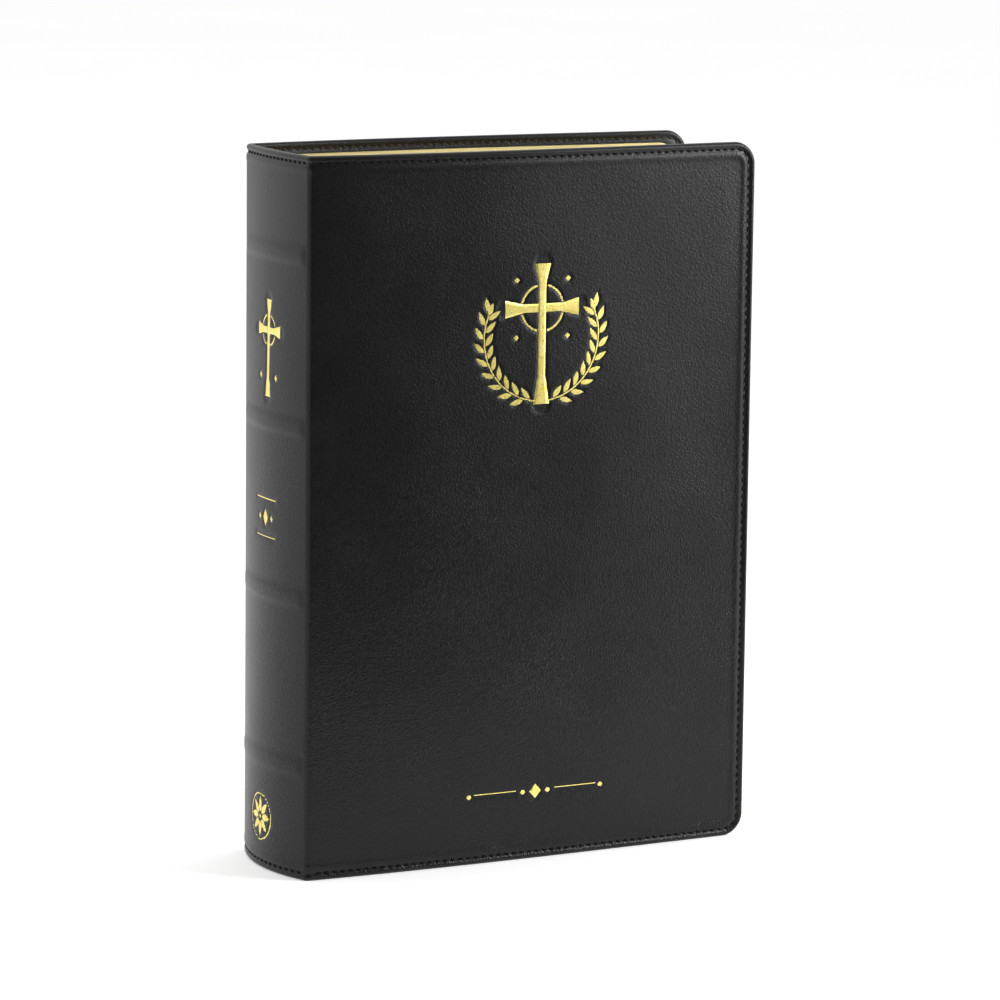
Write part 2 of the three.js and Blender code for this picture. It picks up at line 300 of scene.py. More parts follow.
def spine_ornaments():
    """A cross, a rule and a rosette, placed across and up from the middle of the spine's tail."""
    meet, rule_z, z = 177.0, 116.0, 17.0
    emblem = cross((0, meet), 155.5, 187.0, 8.6, 1.15, 2.2)
    emblem += [arc((0, meet), 5.0, 90 * q + 20, 90 * q + 70, 0.36) for q in range(4)]
    emblem += [lozenge((way * 6.0, 162.0), 1.8, 2.6) for way in (-1, 1)]
    middle = [lozenge((0, rule_z), 4.0, 5.4)]
    for way in (-1, 1):
        middle += [lozenge((way * 4.6, rule_z), 1.8, 2.2)]
        middle += double_rule(-7.4, 7.4, rule_z + way * 5.6)
    rosette = [leaf((1.5 * math.cos(a), z + 1.5 * math.sin(a)), a, 5.2, 1.25)
               for a in np.radians(np.arange(0, 360, 45))]
    rosette.append(arc((0, z), 7.6, 0, 360, 0.32, 64))
    rosette.append(lozenge((0, z), 1.6, 1.6))
    return {"spine_emblem": emblem, "spine_rule": middle, "spine_rosette": rosette}


FRONT_STAMPS = front_ornaments()
SPINE_STAMPS = spine_ornaments()


def stamped(a, z, stamps):
    """How deep the leather is pressed at (a, z) by these ornaments."""
    nearest = np.full(a.shape, 9.0)
    flat_a, flat_z, flat = a.ravel(), z.ravel(), nearest.ravel()
    for line, halves in [r for group in stamps.values() for r in group]:
        margin = halves.max() + 2
        low, high = line.min(0) - margin, line.max(0) + margin
        within_a = (flat_a > low[0]) & (flat_a < high[0])
        within_z = (flat_z > low[1]) & (flat_z < high[1])
        inside = np.flatnonzero(within_a & within_z)
        p = np.stack([flat_a[inside], flat_z[inside]], -1)
        for p0, p1, h0, h1 in zip(line[:-1], line[1:], halves[:-1], halves[1:]):
            d = p1 - p0
            t = np.clip((p - p0) @ d / max(d @ d, TINY), 0, 1)
            gap = np.hypot(*(p - p0 - t[:, None] * d).T) - (h0 + (h1 - h0) * t)
            flat[inside] = np.minimum(flat[inside], gap)
    return STAMP_DEPTH * (1 - smooth(flat.reshape(a.shape) / STAMP_EDGE))


def undulation(u, z, side):
    """The slight unevenness of soft leather over a board."""
    total = 0
    for size, along, up, phase in WAVES:
        total = total + size * np.sin(2 * math.pi * (u / along + z / up) + phase + side)
    return total


def plain_relief(side, u, z):
    """Height of the leather over its plain surface, before stamping."""
    gap = edge_distance(u, z)
    height = -GROOVE_DEPTH * np.exp(-(((gap - STITCH_INSET) / GROOVE_WIDTH) ** 2))
    for rise, away, width in LIPS:
        height += rise * np.exp(-(((gap - STITCH_INSET - away) / width) ** 2))
    spine = smooth((-u - 1.0) / 3)
    for middle in BANDS:
        height += BAND_RELIEF * spine * np.exp(-(((z - middle) / BAND_HALF) ** 4))
    calm = smooth((gap - 4) / 8)
    return height + undulation(u, z, side) * calm * np.where(u < 0, 0, 1)


def relief(side, u, z):
    """Height of the leather with the hollows that the stamps press into it."""
    height = plain_relief(side, u, z)
    if side < 0:
        height -= np.where(u > CREASE_ROUND, stamped(u, z, FRONT_STAMPS), 0)
    height -= np.where(u < -CREASE_ROUND, stamped(side * (u + SPINE_ARC), z, SPINE_STAMPS), 0)
    return height


# ---- Mesh making ----

def new_object(name, data):
    obj = bpy.data.objects.new(name, data)
    scene.collection.objects.link(obj)
    return obj


class Maker:
    """Collects vertices and quads with their own UVs, in millimetres, and makes one object."""

    def __init__(self):
        self.points, self.quads, self.uvs, self.slots = [], [], [], []
        self.count = 0

    def add(self, points):
        points = np.asarray(points, float).reshape(-1, 3)
        self.points.append(points)
        self.count += len(points)
        return np.arange(self.count - len(points), self.count)

    def grid(self, ids, uv, slot=0, flip=False, closed=False):
        """ids is (rows, columns) of vertices, uv is (rows, columns, 2)."""
        if closed:
            ids = np.concatenate([ids, ids[:, :1]], 1)
            uv = np.concatenate([uv, uv[:, :1]], 1)
        corner = lambda a: np.stack([a[:-1, :-1], a[:-1, 1:], a[1:, 1:], a[1:, :-1]], 2)
        quads, uvs = corner(ids).reshape(-1, 4), corner(uv).reshape(-1, 4, 2)
        if flip:
            quads, uvs = quads[:, ::-1], uvs[:, ::-1]
        self.quads.append(quads)
        self.uvs.append(uvs)
        self.slots.append(np.full(len(quads), slot))

    def sheet(self, points, uv, slot=0, flip=False, closed=False):
        """Adds a grid of points, (rows, columns, 3), with its faces."""
        ids = self.add(points).reshape(points.shape[:2])
        self.grid(ids, uv, slot, flip, closed)
        return ids

    def build(self, name, materials, sharp=40, merge=True):
        mesh = bpy.data.meshes.new(name)
        points = np.concatenate(self.points) * MM
        quads = np.concatenate(self.quads)
        uvs = np.concatenate(self.uvs) * MM
        slots = np.concatenate(self.slots)
        if merge:
            keys = np.round(points / (0.004 * MM)).astype(np.int64)
            _, first, back = np.unique(keys, axis=0, return_index=True, return_inverse=True)
            points, quads = points[first], back.reshape(-1)[quads]
        faces, face_uvs, face_slots = [], [], []
        for quad, uv, slot in zip(quads.tolist(), uvs.tolist(), slots.tolist()):
            keep = [i for i in range(4) if quad[i] != quad[i - 1]]
            ring = [quad[i] for i in keep]
            if len(set(ring)) == len(ring) > 2:
                faces.append(ring)
                face_uvs += [uv[i] for i in keep]
                face_slots.append(slot)
        mesh.from_pydata(points.tolist(), [], faces)
        layer = mesh.uv_layers.new(name="surface")
        layer.data.foreach_set("uv", np.asarray(face_uvs, np.float32).ravel())
        for material in materials:
            mesh.materials.append(material)
        mesh.polygons.foreach_set("material_index", face_slots)
        mesh.polygons.foreach_set("use_smooth", [True] * len(faces))
        mesh.set_sharp_from_angle(angle=math.radians(sharp))
        mesh.update()
        return new_object(name, mesh)


def graded(*stops):
    """Positions from the first stop to the last, with the step that each stop names after it."""
    values = []
    for (a, step), (b, _) in zip(stops[:-1], stops[1:]):
        count = max(1, round((b - a) / step))
        values += list(np.linspace(a, b, count, endpoint=False))
    return np.array(values + [stops[-1][0]])


def round_corners(u, z, high_u, low_z, high_z, radius):
    """Bends the square corners of a grid at high_u into quarter circles."""
    u, z = u.copy(), z.copy()
    for way, end in ((-1, low_z), (1, high_z)):
        a = u - (high_u - radius)
        b = way * (z - end) + radius
        inside = (a > TINY) & (b > TINY)
        reach = np.maximum(a, b)
        angle = np.where(a >= b, (math.pi / 4) * b / np.maximum(a, TINY),
                         math.pi / 2 - (math.pi / 4) * a / np.maximum(b, TINY))
        u = np.where(inside, high_u - radius + reach * np.cos(angle), u)
        z = np.where(inside, end + way * (reach * np.sin(angle) - radius), z)
    return u, z


def free_edge(a):
    """A grid's values along its tail, fore-edge and head, in one run."""
    return np.concatenate([a[0, :], a[1:, -1], a[-1, -2::-1]])


def whole_edge(a):
    """A grid's values along all four sides, as a ring."""
    return np.concatenate([free_edge(a), a[-2:0:-1, 0]])


def outline_normals(u, z):
    """Outward directions along an open outline that runs tail, fore-edge, head."""
    du, dz = np.gradient(u), np.gradient(z)
    length = np.maximum(np.hypot(du, dz), TINY)
    return dz / length, -du / length


# ---- The leather wrap: one half of the spine and one cover ----

def leather_lines():
    """Columns and rows of the wrap's grid, closest at the edges, the crease, the stamps and the bands."""
    columns = graded((-SPINE_ARC, 0.75), (-9, 1.0), (-3, 0.3), (3, 0.7), (8, 2.1), (55, 0.6), (109, 2.1),
                     (WIDTH - 7, 0.5), (WIDTH - EDGE_OUT, 1))
    rows = graded((EDGE_OUT, 0.5), (6.5, 0.9), (26, 1.0), (BANDS[0] - 5, 0.7), (BANDS[0] + 5, 2.2),
                  (BANDS[1] - 5, 0.7), (BANDS[1] + 5, 2.2), (109, 0.9), (124, 2.2), (BANDS[2] - 5, 0.65),
                  (BANDS[3] - 5, 0.8), (BANDS[3] + 5, 1.8), (HEIGHT - 7, 0.5),
                  (HEIGHT - EDGE_OUT, 1))
    return columns, rows


def cover_thickness(u):
    return SPINE_THICK + (COVER_THICK - SPINE_THICK) * smooth((u + THICK_EASE) / (2 * THICK_EASE))


def edge_profile():
    """(inset, share of the thickness, fixed depth) of each ring, from the outer face to the inner one."""
    rings = []
    for angle in np.radians((22, 45, 68, 90)):
        rings.append((EDGE_OUT * (1 - math.sin(angle)), 0.0, EDGE_OUT * (1 - math.cos(angle))))
    for angle in np.radians((0, 30, 60, 90)):
        rings.append((EDGE_IN * (1 - math.cos(angle)), 1.0, -EDGE_IN * (1 - math.sin(angle))))
    groove = (-1.2, -0.05), (-0.7, 0.05), (-0.3, 0.2), (0, 0.26), (0.3, 0.2), (0.7, 0.05), (1.4, -0.06)
    for off, dip in groove:
        rings.append((STITCH_INSET + off, 1.0, -dip))
    for inset, dip in ((6.0, 0), (8.0, 0), (TURN_IN - INNER_TURN, 0), (TURN_IN, 0.3)):
        rings.append((inset, 1.0, -dip))
    rings.append((TURN_IN + 0.15, 1.0, -TURN_IN_STEP))
    rings.append((TURN_IN + INNER_REACH, 1.0, -TURN_IN_STEP))
    return rings


def leather_half(name, side):
    maker = Maker()
    columns, rows = leather_lines()
    u, z = np.meshgrid(columns, rows)
    low, high, far = EDGE_OUT, HEIGHT - EDGE_OUT, WIDTH - EDGE_OUT
    ru, rz = round_corners(u, z, far, low, high, CORNER - EDGE_OUT)
    outer = place(side, ru, rz, -relief(side, ru, rz))
    ids = maker.sheet(outer, np.stack([ru, rz], -1), flip=side > 0)

    edge_u, edge_z = free_edge(u), free_edge(z)
    start_u, start_z = free_edge(ru), free_edge(rz)
    ring_ids, travel = [free_edge(ids)], [0.0]
    nu, nz = outline_normals(start_u, start_z)
    last = (EDGE_OUT, 0.0)
    for inset, share, depth in edge_profile():
        pu = np.minimum(edge_u, WIDTH - inset)
        pu = np.where(edge_u >= far - TINY, WIDTH - inset, pu)
        pz = np.clip(edge_z, inset, HEIGHT - inset)
        pz = np.where(edge_z <= low + TINY, inset, np.where(edge_z >= high - TINY, HEIGHT - inset, pz))
        radius = max(CORNER - inset, 0.01)
        pu, pz = round_corners(pu, pz, WIDTH - inset, inset, HEIGHT - inset, radius)
        full = share * cover_thickness(pu) + depth
        lift = np.where(share < 0.5, relief(side, start_u, start_z) * (inset / EDGE_OUT), 0)
        ring_ids.append(maker.add(place(side, pu, pz, full - lift)))
        here = (inset, share * COVER_THICK + depth)
        travel.append(travel[-1] + math.hypot(here[0] - last[0], here[1] - last[1]))
        last = here
    uv = [np.stack([start_u + nu * t, start_z + nz * t], -1) for t in travel]
    maker.grid(np.stack(ring_ids), np.stack(uv), flip=side < 0)
    return maker.build(name, [LEATHER], sharp=70)


# ---- Slabs: boards, endpapers and sections ----

def slab(name, columns, rows, radius, to_space, layers, materials, rim_slot=0, sharp=40):
    """A closed sheet body. to_space(u, z, share) gives points, share 0 to 1 through the thickness.
    layers is a list of (share, outward offset of the rim)."""
    maker = Maker()
    u, z = np.meshgrid(columns, rows)
    ru, rz = round_corners(u, z, columns[-1], rows[0], rows[-1], radius)
    first = to_space(ru[:1, :1], rz[:1, :1], 0.0)
    along = to_space(ru[:1, 1:2], rz[:1, :1], 0.0) - first
    up = to_space(ru[1:2, :1], rz[1:2, :1], 0.0) - first
    inward = to_space(ru[:1, :1], rz[:1, :1], 1.0) - first
    turned = float((np.cross(along, up) * inward).sum()) > 0
    uv = np.stack([ru, rz], -1)
    outer = maker.sheet(to_space(ru, rz, 0.0), uv, flip=turned)
    inner = maker.sheet(to_space(ru, rz, 1.0), uv, flip=not turned)

    lu, lz = whole_edge(ru), whole_edge(rz)
    du = np.roll(lu, -1) - np.roll(lu, 1)
    dz = np.roll(lz, -1) - np.roll(lz, 1)
    length = np.maximum(np.hypot(du, dz), TINY)
    run = length_along(lu, lz)
    rim = [whole_edge(outer)]
    for share, out in layers:
        rim.append(maker.add(to_space(lu + out * dz / length, lz - out * du / length, share)))
    rim.append(whole_edge(inner))
    shares = np.array([0.0, *[share for share, _ in layers], 1.0])
    middle = to_space(lu[:1], lz[:1], 0.0)[0, 1], to_space(lu[:1], lz[:1], 1.0)[0, 1]
    heights = middle[0] + shares * (middle[1] - middle[0])
    rim_uv = np.stack(np.broadcast_arrays(run[None, :], heights[:, None]), -1)
    maker.grid(np.stack(rim), rim_uv, rim_slot, flip=not turned, closed=True)
    return maker.build(name, materials, sharp=sharp)


def cover_plate(name, side, near, inset, depths, radius, materials):
    """A board or lining inside a cover, following its swell."""
    columns = graded((near, 2.0), (near + 8, 8), (WIDTH - inset - 8, 2.0), (WIDTH - inset, 1))
    rows = graded((inset, 2.0), (inset + 8, 9), (HEIGHT - inset - 8, 2.0), (HEIGHT - inset, 1))
    to_space = lambda u, z, share: place(side, u, z, depths[0] + share * (depths[1] - depths[0]))
    layers = [(0.0, 0.06), (1.0, 0.06)]
    return slab(name, columns, rows, radius, to_space, layers, materials)


def leaf_block(name, node, seed, edges, materials):
    """A section or flyleaf: swollen with the covers, with the edges of its leaves at the rim."""
    low, high = box(node)
    start, fore = GUTTER, high.x - CREASE
    columns = graded((start, 1.0), (start + 14, 3), (start + 24, 12), (fore - 7, 1.3), (fore, 1))
    rows = graded((PAGE_LOW, 1.3), (PAGE_LOW + 7, 15), (PAGE_HIGH - 7, 1.3), (PAGE_HIGH, 1))

    def to_space(u, z, share):
        y = low.y + share * (high.y - low.y)
        swollen = y * (1 + dome(u, z) / BLOCK_HALF)
        return np.stack([CREASE + u, np.broadcast_to(swollen, u.shape), np.broadcast_to(z, u.shape)], -1)

    chance = np.random.default_rng(seed)
    layers = []
    for i in range(edges):
        out = chance.normal(0, 0.035)
        layers += [((i + 0.12) / edges, out), ((i + 0.88) / edges, out), ((i + 1.0) / edges - 0.02, -0.05)]
    return slab(name, columns, rows, PAGE_CORNER, to_space, layers[:-1], materials, rim_slot=1, sharp=50)


# ---- Stitching ----

def stitch_template():
    """One slanted stitch: along, across and up, before it is laid on the leather."""
    along = np.cos(np.linspace(math.pi, 0, STITCH_STEPS))
    width = np.sqrt(np.clip(1 - along**4, 0, 1))
    around = 2 * math.pi * np.arange(STITCH_SIDES) / STITCH_SIDES
    length, half = STITCH_LENGTH / 2, STITCH_WIDTH / 2
    rings = []
    for a, w in zip(along, width):
        across = half * w * np.cos(around)
        up = STITCH_RISE * w * np.sin(around) - STITCH_SAG * a * a
        rings.append(np.stack([np.full(len(around), a * length), across, up], -1))
    return np.stack(rings)


def stitches(name, runs, materials):
    """runs is a list of (side, u, z, direction angle, depth, way). way is 1 on the outer face."""
    maker = Maker()
    template = stitch_template()
    chance = np.random.default_rng(11)
    uv = np.stack(np.meshgrid(np.arange(STITCH_SIDES) * 0.35, np.arange(STITCH_STEPS) * 0.3), -1)
    for side, u, z, angle, depth, way in runs:
        turned = angle + STITCH_SLANT * way + chance.normal(0, 0.05)
        c, s = math.cos(turned), math.sin(turned)
        along, across, up = template[..., 0], template[..., 1], template[..., 2]
        pu, pz = u + along * c - across * s, z + along * s + across * c
        points = place(side, pu, pz, depth - way * up)
        slot = 0 if way > 0 else 1
        maker.sheet(points, uv + chance.random(2) * 40, slot, flip=side * way < 0, closed=True)
    return maker.build(name, materials, sharp=80)


def cover_seam():
    """Evenly spaced places along the seam of a cover: (u, z, direction)."""
    radius = CORNER - STITCH_INSET
    low, high, far = STITCH_INSET, HEIGHT - STITCH_INSET, WIDTH - STITCH_INSET
    turn = np.radians(np.linspace(0, 90, 24))
    sine, cosine = radius * np.sin(turn), radius * np.cos(turn)
    u = np.concatenate([[SEAM_START], far - radius + sine, far - radius + cosine, [SEAM_START]])
    z = np.concatenate([[low], low + radius - cosine, high - radius + sine, [high]])
    run = length_along(u, z)
    count = int(run[-1] / STITCH_PITCH)
    t = (np.arange(count) + 0.5) * run[-1] / count
    at = lambda shift: (np.interp(t + shift, run, u), np.interp(t + shift, run, z))
    (bu, bz), (au, az) = at(-0.4), at(0.4)
    mid_u, mid_z = at(0)
    return zip(mid_u, mid_z, np.arctan2(az - bz, au - bu))


def cover_stitches(side):
    runs = []
    for u, z, angle in cover_seam():
        runs.append((side, u, z, angle, GROOVE_DEPTH - STITCH_LIFT, 1))
        runs.append((side, u, z, angle, COVER_THICK - STITCH_BURY, -1))
    return runs


def spine_stitches(z):
    reach = SPINE_ARC - SPINE_SEAM_END
    count = int(2 * reach / STITCH_PITCH)
    runs = []
    for i in range(count):
        w = -reach + (i + 0.5) * 2 * reach / count
        side, u = across_spine(w)
        angle = math.pi if (side < 0) == (z > HEIGHT / 2) else 0.0
        runs.append((int(side), float(u), z, angle, GROOVE_DEPTH - STITCH_LIFT, 1))
    return runs


# ---- Foil ----

def foil(name, group, spine):
    """Thin gold ribbons pressed into the leather, with their edges sunk in it."""
    maker = Maker()
    top, edge = STAMP_DEPTH - FOIL_THICK, STAMP_DEPTH + FOIL_SINK
    shares = (-1, -0.93, -0.5, 0, 0.5, 0.93, 1)
    drops = (edge, top + FOIL_CROWN, top, top, top, top + FOIL_CROWN, edge)
    for line, halves in group:
        direction = np.gradient(line, axis=0)
        direction /= np.maximum(np.hypot(*direction.T), TINY)[:, None]
        sideways = np.stack([-direction[:, 1], direction[:, 0]], -1)
        rows, uv = [], []
        for share, drop in zip(shares, drops):
            p = line + sideways * (halves * share)[:, None]
            z = p[:, 1]
            side, u = across_spine(p[:, 0]) if spine else (-1, p[:, 0])
            rows.append(maker.add(place(side, u, z, drop - plain_relief(side, u, z))))
            uv.append(p)
        maker.grid(np.stack(rows), np.stack(uv), flip=spine)
    return maker.build(name, [FOIL], sharp=60)


# ---- Pieces that follow the CAD's own shapes, moved with the spine's bulge ----

def spine_shift(points):
    """The CAD's spine layers are arcs of one bulge. Here the bulge grows from head to tail."""
    x, y, z = points.T
    share = 1 - (np.clip(y / HALF, -1, 1)) ** 2
    reach = smooth((GUTTER + CREASE - 0.6 - x) / 1.6)
    moved = points.copy()
    moved[:, 0] += (FRAME_BULGE - bulge(z)) * share * reach
    return moved


def restyled(name, node, body, material, step=6.0):
    """A finely divided copy of a CAD node that follows the bulge of the finished spine."""
    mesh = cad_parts[node].data.copy()
    mesh.name = name
    obj = new_object(name, mesh)
    bm = bmesh.new()
    bm.from_mesh(mesh)
    bmesh.ops.remove_doubles(bm, verts=bm.verts, dist=0.001 * MM)
    for _ in range(6):
        long_edges = [e for e in bm.edges if e.calc_length() > step * MM]
        if not long_edges:
            break
        bmesh.ops.subdivide_edges(bm, edges=long_edges, cuts=1)
        bmesh.ops.triangulate(bm, faces=[f for f in bm.faces if len(f.verts) > 4])
    bm.to_mesh(mesh)
    bm.free()
    points = np.array([v.co for v in mesh.vertices]) / MM
    mesh.vertices.foreach_set("co", (spine_shift(points) * MM).ravel())
    mesh.materials.clear()
    mesh.materials.append(material)
    mesh.update()
    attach(obj, body)
    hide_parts(node)
    return obj


def headband(name, node, z):
    """A sewn band: a cord wound with thread, proud of the pages at the back of their ends."""
    low, high = box(node)
    maker = Maker()
    y = np.linspace(low.y, high.y, 8 * HEADBAND_WRAPS)
    around = np.radians(np.arange(0, 360, 24))
    ends, middle = high.x - CREASE - HEADBAND_INSET, low.x - CREASE + HEADBAND_INSET
    x = ends + (middle - ends) * (1 - (y / high.y) ** 2)
    x = x + (FRAME_BULGE - bulge(z)) * (1 - (y / HALF) ** 2)
    wound = np.abs(np.sin(math.pi * HEADBAND_WRAPS * (y - low.y) / (high.y - low.y)))
    swell = HEADBAND_CORD + HEADBAND_THREAD * wound
    swell *= np.sqrt(np.clip(1 - (np.abs(y) / high.y) ** 40, 0.02, 1))
    px = CREASE + x[:, None] + swell[:, None] * np.cos(around)
    pz = z + swell[:, None] * np.sin(around)
    py = np.broadcast_to(y[:, None], px.shape)
    uv = np.stack(np.broadcast_arrays(around[None, :], y[:, None]), -1)
    maker.sheet(np.stack([px, py, pz], -1), uv, closed=True)
    obj = maker.build(name, [HEADBAND], sharp=80)
    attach(obj, "spine_and_block")
    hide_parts(node)


# ---- Materials ----

LINE_PITCH = 3.1
PRINT_COLUMNS = ((24.0, 77.0), (82.0, 135.0))
PRINT_LOW, PRINT_HIGH = PAGE_LOW + 14.0, PAGE_HIGH - 12.0
INK = 0.4
LEATHER_GRAIN = 0.00004  # metres


class Shader:
    """A short way to write node trees."""

    def __init__(self, name):
        self.material = bpy.data.materials.new(name)
        self.material.use_nodes = True
        self.tree = self.material.node_tree
        self.shader = self.tree.nodes["Principled BSDF"]

    @classmethod
    def again(cls, material):
        """Goes on with a material that another function began."""
        made = cls.__new__(cls)
        made.material, made.tree = material, material.node_tree
        made.shader = made.tree.nodes["Principled BSDF"]
        return made

    def node(self, kind, inputs=(), **settings):
        node = self.tree.nodes.new("ShaderNode" + kind)
        for key, value in settings.items():
            setattr(node, key, value)
        for key, value in dict(inputs).items():
            self.put(node.inputs[key], value)
        return node

    def put(self, socket, value):
        if isinstance(value, bpy.types.NodeSocket):
            self.tree.links.new(value, socket)
        else:
            socket.default_value = value

    def set(self, **values):
        for key, value in values.items():
            self.put(self.shader.inputs[key.replace("_", " ")], value)

    def coordinates(self, scale=(1, 1, 1), surface=True):
        if surface:
            source = self.node("UVMap", uv_map="surface").outputs["UV"]
        else:
            source = self.node("TexCoord").outputs["Object"]
        return self.node("Mapping", {"Vector": source, "Scale": scale}).outputs["Vector"]

    def noise(self, vector, scale, detail=3.0, rough=0.55, distortion=0.0):
        inputs = {"Vector": vector, "Scale": scale, "Detail": detail, "Roughness": rough,
                  "Distortion": distortion}
        return self.node("TexNoise", inputs).outputs["Fac"]

    def cells(self, vector, scale):
        node = self.node("TexVoronoi", {"Vector": vector, "Scale": scale}, feature="DISTANCE_TO_EDGE")
        return node.outputs["Distance"]

    def ramp(self, value, *stops):
        node = self.node("ValToRGB", {"Fac": value})
        ramp = node.color_ramp
        while len(ramp.elements) < len(stops):
            ramp.elements.new(0.5)
        for element, (position, colour) in zip(ramp.elements, stops):
            element.position = position
            element.color = (*colour, 1)
        return node.outputs["Color"]

    def range(self, value, low, high, to_low, to_high, smooth_step=False):
        kind = "SMOOTHSTEP" if smooth_step else "LINEAR"
        inputs = {"Value": value, "From Min": low, "From Max": high, "To Min": to_low, "To Max": to_high}
        return self.node("MapRange", inputs, interpolation_type=kind).outputs["Result"]

    def maths(self, operation, a, b=0.0):
        return self.node("Math", {0: a, 1: b}, operation=operation).outputs[0]

    def times(self, a, b):
        return self.maths("MULTIPLY", a, b)

    def plus(self, a, b):
        return self.maths("ADD", a, b)

    def mix(self, share, first, second):
        return self.node("Mix", {"Factor": share, 6: first, 7: second}, data_type="RGBA").outputs[2]

    def bump(self, height, distance, strength=1.0):
        inputs = {"Height": height, "Distance": distance, "Strength": strength}
        return self.node("Bump", inputs).outputs["Normal"]


def leather_material():
    s = Shader("black_leather")
    flat = s.coordinates()
    wander = s.node("TexNoise", {"Vector": flat, "Scale": 420.0, "Detail": 2.0}).outputs["Color"]
    offset = s.node("VectorMath", {0: wander, 1: (0.5, 0.5, 0.5)}, operation="SUBTRACT").outputs[0]
    small = s.node("VectorMath", {0: offset, "Scale": 0.0011}, operation="SCALE").outputs[0]
    bent = s.node("VectorMath", {0: flat, 1: small}, operation="ADD").outputs[0]
    pebble = s.range(s.cells(bent, 900.0), 0.0, 0.32, 0.0, 1.0, smooth_step=True)
    crease = s.range(s.cells(bent, 330.0), 0.0, 0.10, 0.0, 1.0, smooth_step=True)
    fine = s.noise(flat, 3200.0, 3.0, 0.6)
    area = s.noise(flat, 26.0, 2.0)
    up = s.node("SeparateXYZ", {"Vector": flat}).outputs["Y"]
    strength = s.times(s.range(area, 0.32, 0.68, 0.7, 1.0), s.range(up, 0.02, 0.19, 1.6, 0.8))
    grain = s.times(pebble, strength)
    height = s.plus(grain, s.times(crease, 0.25))
    height = s.plus(height, s.times(fine, 0.35))
    s.set(Normal=s.bump(height, LEATHER_GRAIN))
    tone = s.ramp(s.plus(s.times(area, 0.5), s.times(pebble, 0.35)),
                  (0.15, (0.0025, 0.0025, 0.0028)), (0.75, (0.005, 0.005, 0.0054)))
    s.set(Base_Color=tone)
    s.set(Roughness=s.range(s.plus(fine, s.times(area, 0.6)), 0.4, 1.2, 0.28, 0.40))
    s.set(Specular_IOR_Level=0.3)
    return s.material


def thread_material(name, dark, light):
    s = Shader(name)
    flat = s.coordinates()
    twist = s.node("TexWave", {"Vector": flat, "Scale": 900.0, "Distortion": 0.6}, bands_direction="DIAGONAL")
    fuzz = s.noise(flat, 6000.0, 2.0)
    s.set(Base_Color=s.ramp(twist.outputs["Fac"], (0.1, dark), (0.9, light)))
    height = s.plus(twist.outputs["Fac"], s.times(fuzz, 0.4))
    s.set(Normal=s.bump(height, 0.00012), Roughness=s.range(fuzz, 0.3, 0.7, 0.65, 0.85))
    s.set(Specular_IOR_Level=0.12)
    return s.material


def foil_material():
    s = Shader("gold_foil")
    flat = s.coordinates()
    brushed = s.noise(s.coordinates((2600, 900, 1)), 1.0, 3.0)
    worn = s.noise(flat, 1500.0, 4.0, 0.65)
    mottled = s.noise(flat, 240.0, 2.0)
    gold = s.ramp(mottled, (0.3, (0.90, 0.73, 0.17)), (0.7, (1.0, 0.88, 0.31)))
    leather = (0.02, 0.018, 0.012, 1)
    mask = s.range(worn, 0.64, 0.72, 0.0, 0.75)
    s.set(Base_Color=s.mix(mask, gold, leather), Metallic=s.range(worn, 0.66, 0.74, 0.85, 0.4))
    s.set(Roughness=s.range(brushed, 0.3, 0.7, 0.24, 0.42), Normal=s.bump(brushed, 0.00004, 0.8))
    return s.material


def gilt_material():
    s = Shader("gilt_edge")
    lines = s.noise(s.coordinates((25, 16000, 1)), 1.0, 3.0, 0.7)
    soft = s.noise(s.coordinates((20, 1500, 1)), 1.0, 2.0)
    colour = s.ramp(s.plus(s.times(lines, 0.8), s.times(soft, 0.2)),
                    (0.25, (0.55, 0.43, 0.17)), (0.55, (0.80, 0.67, 0.30)), (0.8, (0.88, 0.77, 0.40)))
    s.set(Base_Color=colour, Metallic=0.75, Roughness=s.range(lines, 0.3, 0.7, 0.34, 0.5))
    s.set(Normal=s.bump(lines, 0.00008, 0.7))
    return s.material


def paper_material(name, dark, light, fibre=900.0):
    s = Shader(name)
    flat = s.coordinates()
    cloud = s.noise(flat, 30.0, 3.0)
    fibres = s.noise(flat, fibre, 4.0, 0.7, 0.4)
    s.set(Base_Color=s.ramp(s.plus(s.times(cloud, 0.6), s.times(fibres, 0.4)),
                            (0.3, dark), (0.7, light)))
    s.set(Roughness=s.range(fibres, 0.3, 0.7, 0.72, 0.86), Normal=s.bump(fibres, 0.00005, 0.6))
    s.set(Specular_IOR_Level=0.3)
    return s.material


